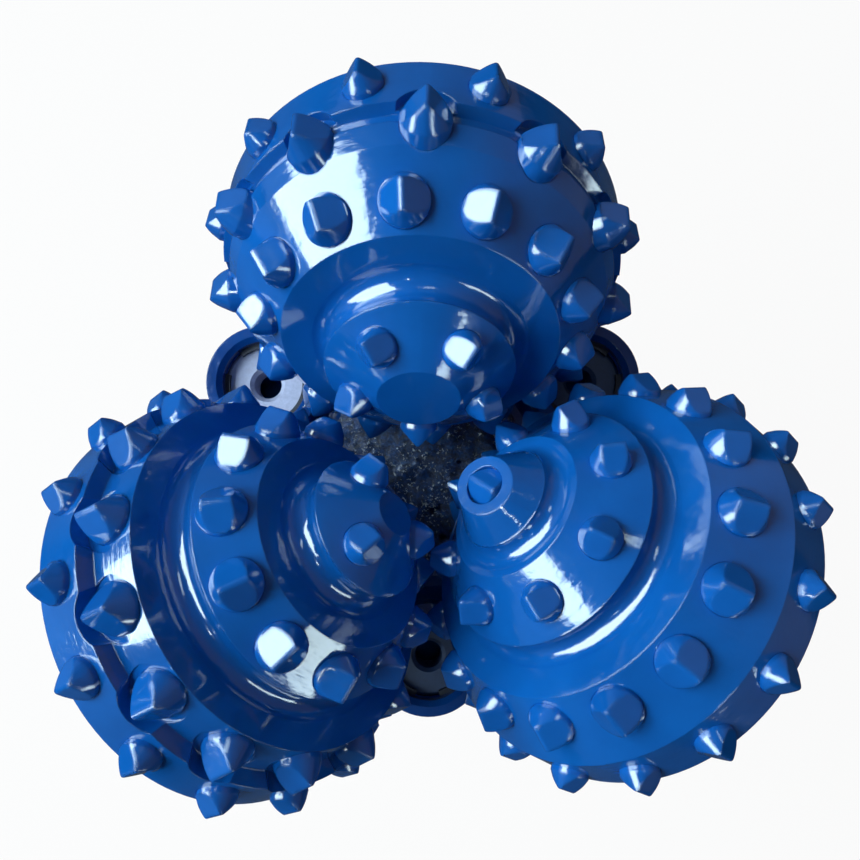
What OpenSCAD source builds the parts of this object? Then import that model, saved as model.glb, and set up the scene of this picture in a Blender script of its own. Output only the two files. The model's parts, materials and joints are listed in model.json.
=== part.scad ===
// Three-cone rolling cutter bit with carbide inserts, standing on its threaded pin with the cones up.
// The origin is the centre of the pin's end face and +Z is the bit axis. Sizes are in millimetres.

/* [Bit] */
// Diameter of the hole that the bit cuts
gauge_d = 215.9; // [215:0.1:222]
// Height of the point where the cone axes pass the bit axis, above the shoulder
crossing_rise = 192.05; // [190:0.05:210]
// Angle of each cone axis below the horizontal
journal_angle = 32; // [31.5:0.5:33]
// Distance by which each cone axis misses the bit axis
cone_offset = 4.8; // [3.5:0.1:6]
// Radial distance from the leg's back to the wall of the hole
leg_relief = 3.4; // [2:0.1:5]

/* [Pin connection] */
// Length of the tapered pin
pin_length = 107.95; // [100:0.05:112]
// Crest diameter of the thread at the shoulder
pin_large_d = 117.475; // [112:0.005:120]
// Change of the pin's diameter for each unit of its length
pin_taper = 0.25; // [0.2:0.01:0.27]
// Depth from the thread's crest to its root
thread_depth = 3.6; // [3:0.1:4]
// Bore of the pin, which leads the drilling fluid in
pin_bore_d = 57.15; // [50:0.05:62]
// Outer diameter of the flat shoulder that the drill collar seats on
shoulder_d = 134.5; // [130:0.1:140]
// Length of the plain relief between the thread and the shoulder
pin_relief_length = 11; // [6:0.5:16]
// Height of the chamfer at the pin's end
pin_chamfer = 4; // [2:0.5:6]

/* [Body] */
// Radius of the body between the legs
body_r = 87; // [84:0.5:89]
// Depth of the dome between the cones below the crossing
dome_depth = 104; // [104:0.5:110]
// Width of each leg across its back
leg_width = 94; // [88:1:97]
// Height above the shoulder at which the foot reaches the body's radius
foot_h = 38; // [34:1:40]
// Height of the breaker slot above the shoulder
breaker_z = 18; // [14:1:20]
// Width of the breaker slot
breaker_h = 26; // [22:1:28]
// Distance from the bit axis to the floor of the breaker slot
breaker_r = 74; // [72:0.5:77]
// Angle from each cone axis to the seam before its leg
seam_angle = 36; // [36:0.5:38]
// Depth of the weld groove along a seam
weld_depth = 5; // [3:0.5:7]
// Height of the weld bead over the body
weld_crown = 0.8; // [0.4:0.1:1.5]

/* [Nozzles] */
// Distance from the bit axis to each nozzle
nozzle_pitch_r = 74; // [72:0.5:75]
// Angle from each cone axis to the nozzle after its leg
nozzle_angle = 63; // [62:0.5:64]
// Depth of the nozzle boss's rim below the crossing
boss_depth = 96; // [95:0.5:100]
// Outer radius of the nozzle boss
boss_r = 22.4; // [21.8:0.1:23]
// Outer diameter of the carbide nozzle
nozzle_d = 33; // [30:0.1:34]
// Length of the carbide nozzle
nozzle_length = 25; // [20:0.5:26]
// Throat diameter of the nozzle
throat_d = 11.1; // [7:0.1:16]
// Depth of the nozzle's face below the rim of its boss
nozzle_recess = 8; // [7:0.5:10]
// Diameter of the fluid passage that feeds a nozzle
passage_d = 19; // [14:0.5:22]

/* [Journal bearing] */
// Diameter of the main journal
journal_d = 55; // [53:0.5:56]
// Distance from the crossing to the leg's machined face
leg_face_h = 93.7; // [93.5:0.1:94.5]
// Running clearance of the bearing surfaces, on the radius
bearing_gap = 0.06; // [0.03:0.01:0.08]
// Wall of the floating journal bushing
bushing_wall = 4; // [3:0.1:4.2]
// Distance from the crossing to the ball race
race_h = 62; // [61.5:0.1:62.5]
// Radius of the circle on which the balls run
race_r = 25; // [24.5:0.1:25.5]
// Diameter of a retaining ball
ball_d = 12.7; // [12:0.1:13]
// Number of retaining balls
ball_count = 11; // [9:1:11]
// Diameter of the pilot pin
pilot_d = 30; // [28:0.5:31]
// Length of the pilot pin beyond the thrust face
pilot_length = 11; // [9:0.1:11.5]
// Thickness of the thrust washer
washer_t = 1.5; // [1:0.1:2]
// Wall of the pilot bushing
pilot_wall = 2.4; // [1.5:0.1:2.8]
// Thickness of the rubber seal ring
seal_t = 5.2; // [4.6:0.1:5.4]
// Diameter of the hole through which the balls are loaded
ball_hole_d = 13.5; // [13.2:0.1:14]

/* [Grease reservoir] */
// Height of the reservoir's axis
reservoir_z = 180; // [178:1:182]
// Diameter of the reservoir's bore
reservoir_d = 36; // [32:0.5:38]
// Distance from the bit axis to the floor of the reservoir
reservoir_floor_r = 62; // [60:0.5:66]
// Distance from the bit axis to the flat around the reservoir cover
reservoir_flat_r = 90; // [88:0.5:91]
// Thickness of the reservoir cover
cover_t = 3.5; // [2.5:0.1:4.5]
// Diameter of the drilled grease passage
grease_d = 5; // [3:0.5:6]

/* [Cone forms] */
// Outer edge of every cone, as distance from the crossing and radius
rim = [84.6, 62.9]; // [60:0.1:86]
// Distance from the crossing to the back face of every cone
cone_back_h = 92.5; // [92:0.1:92.9]
// Tip of the first cone's snout before its face is cut
cone_1_nose = [12.0, 6.7]; // [6:0.1:13]
// End of the snout's flank
cone_1_flank = [23.6, 14.8]; // [14:0.1:25]
// Distance from the crossing to the snout's face, along the cone's axis
snout_face_h = 14.3; // [13.5:0.1:15.5]
// Slant of the snout's face
snout_tilt = 15; // [10:1:18]
// First cone's inner land, from the snout's groove to the wide groove
cone_1_inner = [[28.3, 22.1], [40.9, 37.0]]; // [20:0.1:42]
// First cone's middle land
cone_1_middle = [[49.7, 48.8], [68.3, 61.9]]; // [46:0.1:70]
// Face of the second cone's nose
cone_2_nose = [17.0, 6.4]; // [5:0.1:19]
// End of the second cone's nose land
cone_2_nose_end = [26.6, 19.8]; // [18:0.1:28]
// Second cone's inner land
cone_2_inner = [[36.5, 31.9], [49.4, 42.9]]; // [30:0.1:50]
// Second cone's heel land
cone_2_heel = [[57.8, 54.2], [69.6, 57.0]]; // [52:0.1:70]
// Face of the third cone's nose
cone_3_nose = [24.5, 12.0]; // [11:0.1:26]
// End of the third cone's nose land
cone_3_nose_end = [34.6, 27.0]; // [26:0.1:36]
// Third cone's middle land
cone_3_middle = [[44.6, 41.2], [60.0, 56.1]]; // [40:0.1:61]
// End of the third cone's heel land
cone_3_heel_end = [65.4, 59.0]; // [58:0.1:66]
// Start of the gauge land on the second and third cones
gauge_land_start = [69.9, 61.5]; // [61:0.1:71]
// Depth of the narrow channel before the third cone's gauge land
channel_depth = 1.4; // [0.5:0.1:2.5]

/* [Grooves] */
// Groove behind the snout: centre and radius of its round floor
snout_groove = [24.2, 19.2, 4.2]; // [4:0.1:25]
// Wide groove of the first cone
cone_1_groove = [45.2, 39.5, 4.6]; // [4:0.1:47]
// Nose groove of the second cone
cone_2_nose_groove = [31.6, 23.0, 5.0]; // [4:0.1:33]
// Heel groove of the second cone
cone_2_heel_groove = [53.3, 45.4, 4.6]; // [4:0.1:54]
// Nose groove of the third cone
cone_3_groove = [39.5, 30.8, 5.2]; // [4:0.1:41]

/* [Inserts] */
// Diameter of the inserts in the cutting rows
main_d = 13.5; // [12.7:0.1:13.7]
// Diameter of the gauge row's inserts
gauge_insert_d = 11.1; // [9.5:0.1:11.3]
// Diameter of the nose rows' inserts
nose_insert_d = 11.5; // [10:0.1:11.9]
// Diameter of the insert in the snout
snout_insert_d = 11.1; // [10:0.1:11.5]
// Depth of the snout insert's shoulder below the snout's face
snout_depth = 2.6; // [2:0.1:3]
// Height of the snout insert's crest over the snout's face
snout_rise = 1.6; // [1:0.1:2]
// Diameter of the flush heel compacts
compact_d = 7.9; // [7:0.1:8.2]
// Part of an insert's length that is set in the cone, as a share of its diameter
grip = 0.68; // [0.5:0.01:0.7]
// Width of a chisel crest as a share of the insert's diameter
crest_width = 0.07; // [0.05:0.01:0.2]
// Length of a chisel crest as a share of the insert's diameter
crest_length = 0.58; // [0.5:0.01:0.7]
// Gap drawn round an insert in place of its press fit
insert_gap = 0.02; // [0.01:0.01:0.05]
// Width of the spot face round an insert of a heel row
spot_margin = 2; // [1.5:0.1:2.2]
// Depth of that spot face in its land
spot_depth = 0.7; // [0.6:0.05:1]

/* [Insert rows] */
// Rows of the first cone: place along the land, tilt to the nose, count, first angle
cone_1_inner_row = [0.5, 50, 8, -7.6]; // [-360:0.1:360]
// Middle row of the first cone
cone_1_middle_row = [0.37, 35, 16, -10]; // [-360:0.1:360]
// Gauge row of the first cone
cone_1_gauge_row = [0.58, 0, 17, 1.5]; // [-360:0.1:360]
// Nose row of the second cone
cone_2_nose_row = [0.49, 54, 3, -13]; // [-360:0.1:360]
// Inner row of the second cone
cone_2_inner_row = [0.52, 40, 12, 5.4]; // [-360:0.1:360]
// Heel row of the second cone
cone_2_heel_row = [0.6, 8, 15, 12.6]; // [-360:0.1:360]
// Gauge row of the second cone
cone_2_gauge_row = [0.55, 0, 16, 1.1]; // [-360:0.1:360]
// Nose row of the third cone
cone_3_nose_row = [0.5, 56, 5, -37]; // [-360:0.1:360]
// Middle row of the third cone
cone_3_middle_row = [0.38, 38, 14, -6.9]; // [-360:0.1:360]
// Heel row of the third cone
cone_3_heel_row = [1, 4, 12, -1]; // [-360:0.1:360]
// Gauge row of the third cone
cone_3_gauge_row = [0.53, 0, 12, -16.2]; // [-360:0.1:360]
// Height of the first cone's inner inserts over their land
cone_1_inner_rise = 7.2; // [6.6:0.1:7.4]
// Height of the first cone's middle inserts over their land
cone_1_middle_rise = 6.4; // [5.8:0.1:6.6]
// Height of the first cone's gauge inserts over their land
cone_1_gauge_rise = 5.4; // [4.8:0.1:5.6]
// Height of the second cone's nose inserts over their land
cone_2_nose_rise = 6; // [5.4:0.1:6.2]
// Height of the second cone's inner inserts over their land
cone_2_inner_rise = 7; // [6.4:0.1:7.2]
// Height of the second cone's heel inserts over their land
cone_2_heel_rise = 7.2; // [6.6:0.1:7.4]
// Height of the second cone's gauge inserts over their land
cone_2_gauge_rise = 5.6; // [5:0.1:5.8]
// Height of the third cone's nose inserts over their land
cone_3_nose_rise = 6.6; // [6:0.1:6.8]
// Height of the third cone's middle inserts over their land
cone_3_middle_rise = 6.8; // [6.2:0.1:7]
// Height of the third cone's heel inserts over their land
cone_3_heel_rise = 6.8; // [6.2:0.1:7]
// Height of the third cone's gauge inserts over their land
cone_3_gauge_rise = 5.4; // [4.8:0.1:5.6]
// Place of the heel compacts between a cone's rim and its back face
compact_place = 0.4; // [0.35:0.01:0.5]
// Height of a heel compact over the heel surface
compact_rise = 0.8; // [0.2:0.1:1]
// Number of flush buttons along each half of a leg's tip
button_count = 3; // [1:1:4]

/* [Hidden] */
$fn = 64;

lacquer = "#1450b4";
steel = "#8c9096";
carbide = "#9a98a8";
bronze = "#b08040";
rubber = "#202020";

cone_azimuth = [330, 210, 90];
leg_r = gauge_d / 2 - leg_relief;
crossing_z = pin_length + crossing_rise;
pin_root_r = pin_large_d / 2 - thread_depth;
pin_end_root_r = pin_root_r - (pin_length - pin_relief_length) * pin_taper / 2;
boss_top_z = crossing_z - boss_depth;
dome_z = crossing_z - dome_depth;
nozzle_face_z = boss_top_z - nozzle_recess;
nozzle_seat_z = nozzle_face_z - nozzle_length;
leg_sector = 120;
clear = 0.5;

journal_r = journal_d / 2;
thrust_h = race_h - 10;
pilot_end_h = thrust_h - pilot_length;
race_groove_r = ball_d / 2 + 0.1;
washer_gap = 0.05;
cone_thrust_h = thrust_h - washer_t - 2 * washer_gap;
bushing_r = journal_r + bearing_gap + bushing_wall;
seal_seat_r = journal_r + seal_t + 0.3;
seal_start_h = cone_back_h - seal_t - 1.3;
flange_r = seal_seat_r - 0.4;
flange_h = cone_back_h - 1;
flange_fillet = 1.2;
ball_hole_r_place = race_r - race_groove_r - ball_hole_d / 2 + 4.2;
ball_hole_end_h = leg_r / cos(journal_angle) + 20;
plug_start_h = race_h + race_groove_r + 0.2;
sweep_r = 71;
hole_fit = 0.05;

// A point at share t of the way from a to b
function along(a, b, t) = a + (b - a) * t;
// The point at radius r and angle a
function polar(r, a) = [r * cos(a), r * sin(a)];
// Angles of n equal steps
function steps(n, first) = [for (i = [0:n - 1]) first + 360 * i / n];

// Puts its children in a cone's own frame: +Z runs out of the crossing to the cone's back
module cone_frame(i) {
    translate([0, 0, crossing_z])
        rotate([0, 0, cone_azimuth[i]])
            translate([0, cone_offset, 0])
                rotate([0, 90 + journal_angle, 0])
                    rotate([0, 0, 180])
                        children();
}

// Puts its children at a leg's azimuth, with +X out of the bit axis
module leg_frame(i) {
    rotate([0, 0, cone_azimuth[i]])
        children();
}

// Turns a section in the plane of distance and radius, drawn as [distance, radius]
module revolve_section() {
    rotate_extrude(angle = 360)
        mirror([1, -1, 0])
            children();
}

// One groove: a round floor with flanks up to both lips
module groove_section(groove, lip_in, lip_out) {
    centre = [groove[0], groove[1]];
    half = groove[2] * 0.97;
    lift = [-3, 3];
    translate(centre)
        circle(r = groove[2]);
    polygon([
        lip_in, lip_in + lift, lip_out + lift, lip_out,
        centre + [half, 0.05 * groove[2]],
        centre - [half, 0.05 * groove[2]]
    ]);
}

// The bearing cavity, the same in each cone
module cavity_section() {
    polygon([
        [pilot_end_h - 0.7, -1],
        [pilot_end_h - 0.7, pilot_d / 2 + bearing_gap],
        [pilot_end_h + 1, pilot_d / 2 + bearing_gap],
        [pilot_end_h + 1, pilot_d / 2 + bearing_gap + pilot_wall + insert_gap],
        [cone_thrust_h, pilot_d / 2 + bearing_gap + pilot_wall + insert_gap],
        [cone_thrust_h, race_r - 0.1],
        [race_h, race_r - 0.1],
        [race_h, journal_r + clear],
        [race_h + race_groove_r + 1, journal_r + clear],
        [race_h + race_groove_r + 1, bushing_r + insert_gap],
        [seal_start_h, bushing_r + insert_gap],
        [seal_start_h, seal_seat_r],
        [cone_back_h + 1, seal_seat_r],
        [cone_back_h + 1, -1]
    ]);
    translate([race_h, race_r])
        circle(r = race_groove_r);
}

// Radius of the back face, where the heel surface runs level with the wall of the hole
back_r = rim[1] - (cone_back_h - rim[0]) / tan(journal_angle);

module cone_section(outline) {
    difference() {
        polygon(concat([[outline[0][0], 0]], outline, [rim, [cone_back_h, back_r], [cone_back_h, 0]]));
        children();
        cavity_section();
    }
}

module cone_1_section() {
    cone_section([cone_1_nose, cone_1_flank, cone_1_inner[0], cone_1_inner[1],
                  cone_1_middle[0], cone_1_middle[1]]) {
        groove_section(snout_groove, cone_1_flank, cone_1_inner[0]);
        groove_section(cone_1_groove, cone_1_inner[1], cone_1_middle[0]);
    }
}

module cone_2_section() {
    cone_section([cone_2_nose, cone_2_nose_end, cone_2_inner[0], cone_2_inner[1],
                  cone_2_heel[0], cone_2_heel[1], gauge_land_start]) {
        groove_section(cone_2_nose_groove, cone_2_nose_end, cone_2_inner[0]);
        groove_section(cone_2_heel_groove, cone_2_inner[1], cone_2_heel[0]);
    }
}

module cone_3_section() {
    channel = cone_3_heel_end - [-0.6, channel_depth];
    cone_section([cone_3_nose, cone_3_nose_end, cone_3_middle[0], cone_3_middle[1], cone_3_heel_end,
                  channel, [gauge_land_start[0] - 0.8, channel[1] + 0.6], gauge_land_start]) {
        groove_section(cone_3_groove, cone_3_nose_end, cone_3_middle[0]);
    }
}

// Puts its children on every place of a row, with +Z out along the insert and +X along the crest.
// A row is [place along the land, tilt, protrusion, count, first angle].
module row_places(land, row, depth = 0) {
    base = along(land[0], land[1], row[0]);
    for (angle = steps(row[2], row[3]))
        rotate([0, 0, angle])
            translate([base[1], 0, base[0]])
                rotate([0, 90 + row[1], 0])
                    translate([0, 0, -depth])
                        children();
}

// A chisel insert: a barrel set in its pocket, and a tapered head between two flat flanks
module chisel_insert(d, head, crest_share = crest_length) {
    r = d / 2;
    collar = 0.16 * head;
    crest = crest_width * r;
    translate([0, 0, -grip * d])
        cylinder(h = grip * d, r = r);
    intersection() {
        union() {
            cylinder(h = collar, r = r);
            translate([0, 0, collar])
                cylinder(h = head - collar, r1 = r, r2 = crest_share * r);
        }
        rotate([90, 0, 90])
            translate([0, 0, -d])
                linear_extrude(height = 2 * d)
                    polygon([
                        [-1.1 * r, 0], [-1.1 * r, collar], [-0.94 * r, 1.1 * collar],
                        [-crest - 0.06 * r, head * 0.94], [-crest, head * 0.985], [-0.4 * crest, head],
                        [0.4 * crest, head], [crest, head * 0.985], [crest + 0.06 * r, head * 0.94],
                        [0.94 * r, 1.1 * collar], [1.1 * r, collar], [1.1 * r, 0]
                    ]);
    }
}

// A flat-topped compact that stands a little over its surface
module flush_compact(d, rise, set = grip) {
    edge = 0.6;
    translate([0, 0, -set * d])
        cylinder(h = set * d + rise - edge, r = d / 2);
    translate([0, 0, rise - edge])
        cylinder(h = edge, r1 = d / 2, r2 = d / 2 - edge);
}

// A row of inserts, with their shoulders sunk by depth where the row has spot faces
module insert_row(land, row, rise, d, depth = 0) {
    row_places(land, row, depth)
        chisel_insert(d, rise + depth);
}

// The pockets that a row needs in its cone, and its spot faces if they have a depth
module row_pockets(land, row, rise, d, depth = 0) {
    row_places(land, row, depth) {
        translate([0, 0, -grip * d - insert_gap])
            cylinder(h = grip * d + rise, r = d / 2 + insert_gap);
        if (depth > 0)
            cylinder(h = rise + 2, r = d / 2 + spot_margin);
    }
}

// Heel compacts sit between the gauge inserts, square to the heel surface
function heel_row(gauge_row) = [compact_place, journal_angle - 90, gauge_row[2],
                                gauge_row[3] + 180 / gauge_row[2]];
heel_land = [rim, [cone_back_h, back_r]];

module heel_compacts(gauge_row) {
    row_places(heel_land, heel_row(gauge_row))
        flush_compact(compact_d, compact_rise);
}

module heel_pockets(gauge_row) {
    row_places(heel_land, heel_row(gauge_row), grip * compact_d + insert_gap)
        cylinder(h = 2 * compact_d, r = compact_d / 2 + insert_gap);
}

cone_1_gauge_land = [cone_1_middle[1], rim];
gauge_land = [gauge_land_start, rim];
cone_2_nose_land = [cone_2_nose, cone_2_nose_end];
cone_3_nose_land = [cone_3_nose, cone_3_nose_end];
cone_3_heel_land = [cone_3_middle[1], cone_3_heel_end];

// The slanted face cuts the snout off centre, so its insert sits beside the cone's axis
snout_shift = (snout_face_h - cone_1_nose[0] + cone_1_nose[1]) * tan(snout_tilt) * 0.7;

// Puts its children on the snout's face, with +Z out of the snout and +X along the slant
module snout_place() {
    translate([0, 0, snout_face_h])
        rotate([0, 180 - snout_tilt, 0])
            mirror([1, 0, 0])
                children();
}

module cone_1_shell() {
    color(lacquer)
        cone_frame(0)
            difference() {
                revolve_section()
                    cone_1_section();
                snout_place() {
                    translate([-20, -20, 0])
                        cube([40, 40, 20]);
                    translate([snout_shift, 0, -snout_depth - grip * snout_insert_d - insert_gap])
                        cylinder(h = 20, r = snout_insert_d / 2 + insert_gap);
                }
                row_pockets(cone_1_inner, cone_1_inner_row, cone_1_inner_rise, nose_insert_d);
                row_pockets(cone_1_middle, cone_1_middle_row, cone_1_middle_rise, main_d);
                row_pockets(cone_1_gauge_land, cone_1_gauge_row, cone_1_gauge_rise, gauge_insert_d);
                heel_pockets(cone_1_gauge_row);
            }
}

module cone_2_shell() {
    color(lacquer)
        cone_frame(1)
            difference() {
                revolve_section()
                    cone_2_section();
                row_pockets(cone_2_nose_land, cone_2_nose_row, cone_2_nose_rise, nose_insert_d);
                row_pockets(cone_2_inner, cone_2_inner_row, cone_2_inner_rise, main_d);
                row_pockets(cone_2_heel, cone_2_heel_row, cone_2_heel_rise, main_d, spot_depth);
                row_pockets(gauge_land, cone_2_gauge_row, cone_2_gauge_rise, gauge_insert_d);
                heel_pockets(cone_2_gauge_row);
            }
}

module cone_3_shell() {
    color(lacquer)
        cone_frame(2)
            difference() {
                revolve_section()
                    cone_3_section();
                row_pockets(cone_3_nose_land, cone_3_nose_row, cone_3_nose_rise, nose_insert_d);
                row_pockets(cone_3_middle, cone_3_middle_row, cone_3_middle_rise, main_d);
                row_pockets(cone_3_heel_land, cone_3_heel_row, cone_3_heel_rise, main_d, spot_depth);
                row_pockets(gauge_land, cone_3_gauge_row, cone_3_gauge_rise, gauge_insert_d);
                heel_pockets(cone_3_gauge_row);
            }
}

module cone_1_snout_insert() {
    color(lacquer)
        cone_frame(0)
            snout_place()
                translate([snout_shift, 0, -snout_depth])
                    chisel_insert(snout_insert_d, snout_depth + snout_rise, 0.85);
}

module cone_1_inner_inserts() {
    color(lacquer)
        cone_frame(0) insert_row(cone_1_inner, cone_1_inner_row, cone_1_inner_rise, nose_insert_d);
}

module cone_1_middle_inserts() {
    color(lacquer)
        cone_frame(0) insert_row(cone_1_middle, cone_1_middle_row, cone_1_middle_rise, main_d);
}

module cone_1_gauge_inserts() {
    color(lacquer)
        cone_frame(0) insert_row(cone_1_gauge_land, cone_1_gauge_row, cone_1_gauge_rise, gauge_insert_d);
}

module cone_2_nose_inserts() {
    color(lacquer)
        cone_frame(1) insert_row(cone_2_nose_land, cone_2_nose_row, cone_2_nose_rise, nose_insert_d);
}

module cone_2_inner_inserts() {
    color(lacquer)
        cone_frame(1) insert_row(cone_2_inner, cone_2_inner_row, cone_2_inner_rise, main_d);
}

module cone_2_heel_inserts() {
    color(lacquer)
        cone_frame(1) insert_row(cone_2_heel, cone_2_heel_row, cone_2_heel_rise, main_d, spot_depth);
}

module cone_2_gauge_inserts() {
    color(lacquer)
        cone_frame(1) insert_row(gauge_land, cone_2_gauge_row, cone_2_gauge_rise, gauge_insert_d);
}

module cone_3_nose_inserts() {
    color(lacquer)
        cone_frame(2) insert_row(cone_3_nose_land, cone_3_nose_row, cone_3_nose_rise, nose_insert_d);
}

module cone_3_middle_inserts() {
    color(lacquer)
        cone_frame(2) insert_row(cone_3_middle, cone_3_middle_row, cone_3_middle_rise, main_d);
}

module cone_3_heel_inserts() {
    color(lacquer)
        cone_frame(2) insert_row(cone_3_heel_land, cone_3_heel_row, cone_3_heel_rise, main_d, spot_depth);
}

module cone_3_gauge_inserts() {
    color(lacquer)
        cone_frame(2) insert_row(gauge_land, cone_3_gauge_row, cone_3_gauge_rise, gauge_insert_d);
}

module cone_1_heel_compacts() {
    color(carbide) cone_frame(0) heel_compacts(cone_1_gauge_row);
}

module cone_2_heel_compacts() {
    color(carbide) cone_frame(1) heel_compacts(cone_2_gauge_row);
}

module cone_3_heel_compacts() {
    color(carbide) cone_frame(2) heel_compacts(cone_3_gauge_row);
}

// A plain ring in a cone's frame
module ring(i, r_in, r_out, h_start, h_end) {
    cone_frame(i)
        translate([0, 0, h_start])
            difference() {
                cylinder(h = h_end - h_start, r = r_out);
                translate([0, 0, -1])
                    cylinder(h = h_end - h_start + 2, r = r_in);
            }
}

module bushing(i) {
    color(bronze)
        ring(i, journal_r + bearing_gap, bushing_r,
            race_h + race_groove_r + 1 + washer_gap, seal_start_h - 0.2);
}

module pilot_bushing(i) {
    bore_r = pilot_d / 2 + bearing_gap;
    color(bronze)
        ring(i, bore_r, bore_r + pilot_wall, pilot_end_h + 1 + washer_gap, cone_thrust_h - 0.2);
}

module seal(i) {
    color(rubber)
        cone_frame(i)
            translate([0, 0, (seal_start_h + flange_h) / 2])
                rotate_extrude(angle = 360)
                    translate([journal_r + 0.1 + seal_t / 2, 0])
                        circle(d = seal_t);
}

module cone_1_bushing() { bushing(0); }
module cone_2_bushing() { bushing(1); }
module cone_3_bushing() { bushing(2); }
module cone_1_pilot_bushing() { pilot_bushing(0); }
module cone_2_pilot_bushing() { pilot_bushing(1); }
module cone_3_pilot_bushing() { pilot_bushing(2); }
module cone_1_seal() { seal(0); }
module cone_2_seal() { seal(1); }
module cone_3_seal() { seal(2); }

module thrust_washers() {
    color(bronze)
        for (i = [0:2])
            ring(i, pilot_d / 2 + 0.3, race_r - 0.7, cone_thrust_h + washer_gap, thrust_h - washer_gap);
}

module balls(i) {
    color(steel)
        cone_frame(i)
            for (angle = steps(ball_count, 0))
                rotate([0, 0, angle])
                    translate([race_r, 0, race_h])
                        sphere(d = ball_d);
}

module balls_1() { balls(0); }
module balls_2() { balls(1); }
module balls_3() { balls(2); }

// The fixed journal with its ball race, pilot pin and seal flange
module journal() {
    rotate_extrude(angle = 360)
        mirror([1, -1, 0])
            difference() {
                polygon([
                    [pilot_end_h, 0], [pilot_end_h, pilot_d / 2 - 1], [pilot_end_h + 1, pilot_d / 2],
                    [thrust_h, pilot_d / 2], [thrust_h, race_r - 0.4], [race_h, race_r - 0.4],
                    [race_h, journal_r], [flange_h - flange_fillet, journal_r],
                    [flange_h, journal_r + flange_fillet], [flange_h, flange_r],
                    [leg_face_h + 3, flange_r], [leg_face_h + 3, 0]
                ]);
                translate([race_h, race_r])
                    circle(r = race_groove_r);
            }
}

// The space that a turning cone sweeps, with room round it
module cone_sweep() {
    revolve_section()
        polygon([
            [8, 0], [8, 30], [40, 56], [56, sweep_r], [rim[0] + 1, sweep_r],
            [leg_face_h, back_r + 2], [leg_face_h, 0]
        ]);
}

arm_foot_z = pin_length + 0.65 * foot_h;

// How far below the crossing a leg's back runs straight, bends in and meets the body
back_straight_h = 92;
back_bend_h = 108;
back_low_h = 130;
back_end_h = 152;
// How far those bends lie inside the leg's radius, and the foot inside the body's
back_bend_in = 2;
back_low_in = 8;
back_foot_in = 4;
// Start and length of the round tongue along the cone's axis
tongue_start = 80;
tongue_run = 70;

// Outline of the body between the legs, as [radius, height]
body_outline = [
    [0, dome_z], [46, dome_z], [62, dome_z - 6], [80, dome_z - 20], [body_r, dome_z - 36],
    [body_r, pin_length + foot_h], [body_r - 2, pin_length + 0.75 * foot_h],
    [shoulder_d / 2 + 9, pin_length + 0.32 * foot_h], [shoulder_d / 2, pin_length + 3],
    [shoulder_d / 2, pin_length], [0, pin_length]
];
// Outline of the legs' backs
leg_outline = [
    [0, crossing_z], [leg_r, crossing_z], [leg_r, crossing_z - back_straight_h],
    [leg_r - back_bend_in, crossing_z - back_bend_h], [leg_r - back_low_in, crossing_z - back_low_h],
    [body_r, crossing_z - back_end_h], [body_r - back_foot_in, arm_foot_z],
    [0, arm_foot_z]
];

module pin_blank() {
    rotate_extrude(angle = 360)
        polygon([
            [0, 0], [pin_end_root_r - pin_chamfer, 0], [pin_end_root_r, pin_chamfer],
            [pin_root_r, pin_length - pin_relief_length], [pin_root_r, pin_length], [0, pin_length]
        ]);
}

// The central bore with its conical end
module waterway() {
    neck_z = pin_length + 34;
    translate([0, 0, -1])
        cylinder(h = neck_z + 1, d = pin_bore_d);
    translate([0, 0, neck_z])
        cylinder(h = 20, d1 = pin_bore_d, d2 = passage_d);
}

module nozzle_boss() {
    rotate([0, 0, nozzle_angle])
        translate([nozzle_pitch_r, 0, 0]) {
            translate([0, 0, dome_z - 34])
                cylinder(h = boss_top_z - dome_z + 34, r = boss_r);
            translate([0, 0, dome_z - 64])
                cylinder(h = 30, r1 = boss_r - 10, r2 = boss_r);
        }
}

seal_groove_z = nozzle_seat_z + 8;
seal_groove_h = 4;
seal_groove_depth = 2.4;
snap_z = nozzle_face_z + 0.6;
snap_t = 2;

// Nozzle pocket, its seal and snap-ring grooves, and the passage from the waterway
module nozzle_pocket() {
    pocket_r = nozzle_d / 2 + 0.1;
    rotate([0, 0, nozzle_angle]) {
        translate([nozzle_pitch_r, 0, 0]) {
            translate([0, 0, nozzle_seat_z])
                cylinder(h = boss_top_z - nozzle_seat_z + 1, r = pocket_r);
            translate([0, 0, boss_top_z - 2])
                cylinder(h = 3, r1 = pocket_r, r2 = pocket_r + 3);
            translate([0, 0, seal_groove_z])
                cylinder(h = seal_groove_h, r = nozzle_d / 2 + seal_groove_depth);
            translate([0, 0, snap_z - hole_fit])
                cylinder(h = snap_t + 2 * hole_fit, r = pocket_r + 1.4);
            translate([0, 0, nozzle_seat_z - 12])
                cylinder(h = 13, d = nozzle_d - 7);
        }
        passage_start = [0, 0, pin_length + 38];
        passage_end = [nozzle_pitch_r, 0, nozzle_seat_z - 8];
        run = passage_end - passage_start;
        translate(passage_start)
            rotate([0, atan2(run[0], run[2]), 0])
                cylinder(h = norm(run), d = passage_d);
    }
}

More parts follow.
